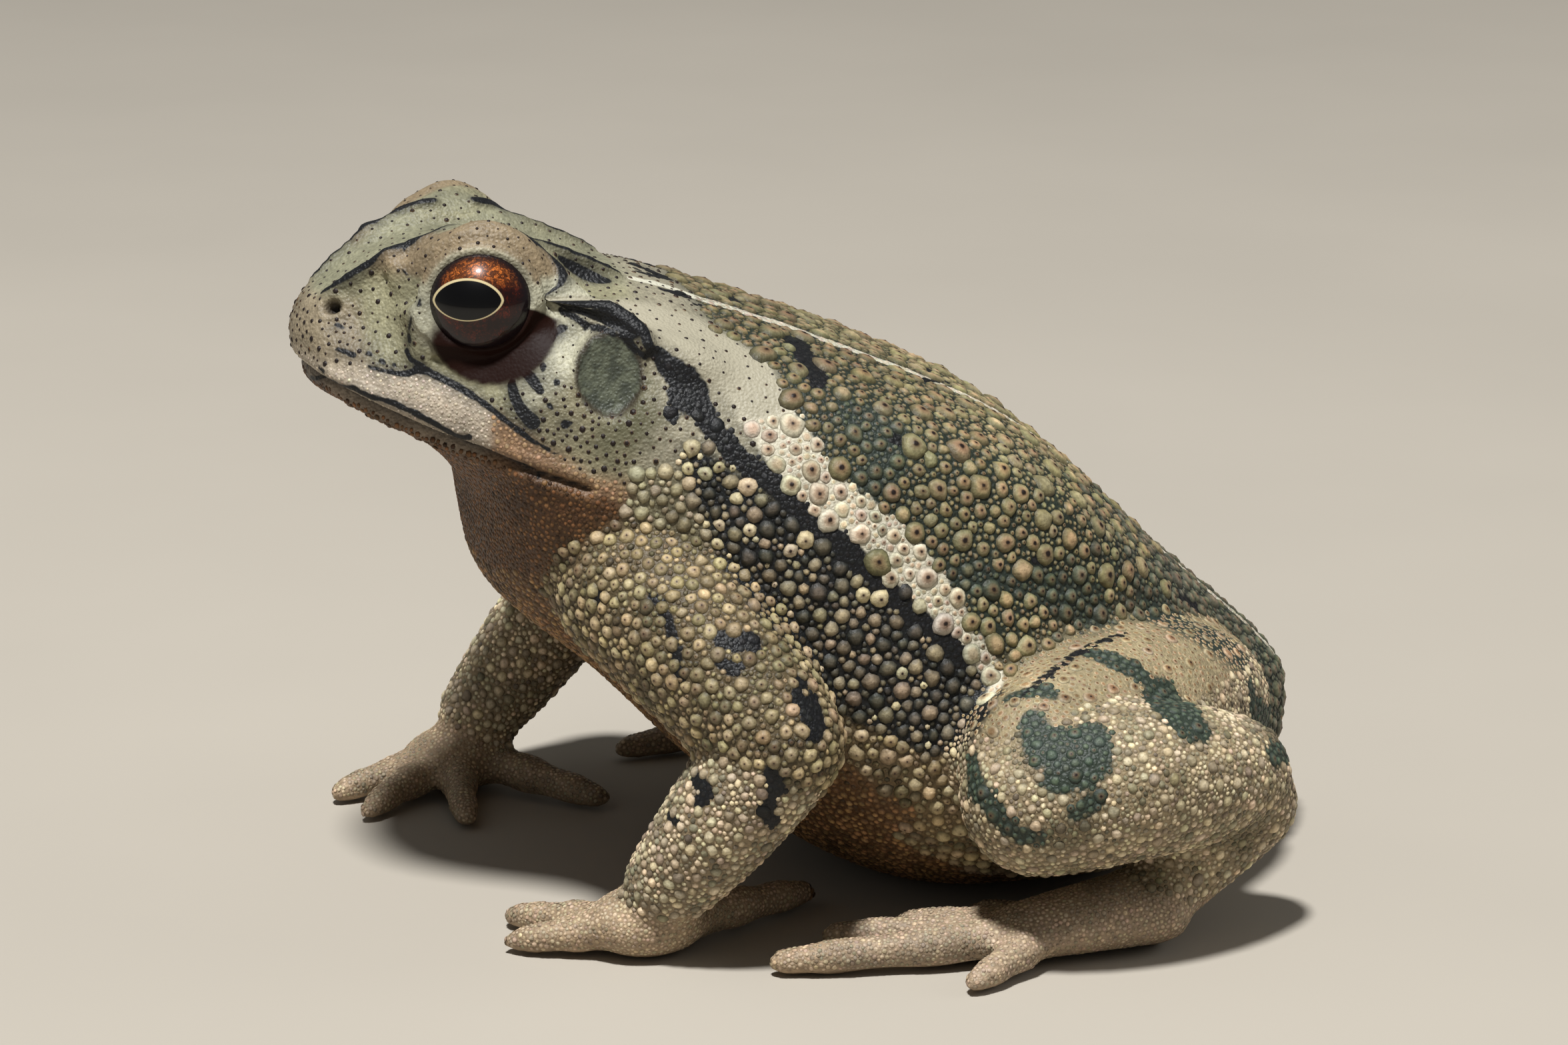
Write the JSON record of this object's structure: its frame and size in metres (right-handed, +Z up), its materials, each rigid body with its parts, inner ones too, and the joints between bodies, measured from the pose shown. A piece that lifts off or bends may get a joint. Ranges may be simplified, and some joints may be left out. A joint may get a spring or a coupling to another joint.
{
  "type": "gulf coast toad",
  "caption": "Life-size still model of a sitting gulf coast toad with bony head crests, a pale side stripe over a dark band, warty skin and folded hind legs.",
  "frame": {"origin": "centre of the bottom of the whole toad's bounding box, on the floor that it rests on", "axes": "-Y is ahead of the animal, +X is its left side, +Z is up"},
  "size_m": [0.0746, 0.0836, 0.0568],
  "materials": {
    "head_skin": "dry olive grey skin with dark-edged crests",
    "jaw_skin": "granular orange-tan throat and cream jaw",
    "body_skin": "warty olive back, pale stripes, blackish side band",
    "limb_skin": "cream and tan skin with dark green bars",
    "foot_skin": "dry sandy tan skin",
    "eye": "wet copper iris with a black pupil",
    "eardrum": "smooth grey-green membrane"
  },
  "bodies": {
    "root": {"head": "head_skin", "lower_jaw": "jaw_skin", "torso": "body_skin", "left_eye": "eye", "left_eardrum": "eardrum", "left_upper_arm": "limb_skin", "left_forearm": "limb_skin", "left_hand": "foot_skin", "left_thigh": "limb_skin", "left_shank": "limb_skin", "left_tarsus": "foot_skin", "left_foot": "foot_skin", "right_eye": "eye", "right_eardrum": "eardrum", "right_upper_arm": "limb_skin", "right_forearm": "limb_skin", "right_hand": "foot_skin", "right_thigh": "limb_skin", "right_shank": "limb_skin", "right_tarsus": "foot_skin", "right_foot": "foot_skin"}
  },
  "joints": []
}
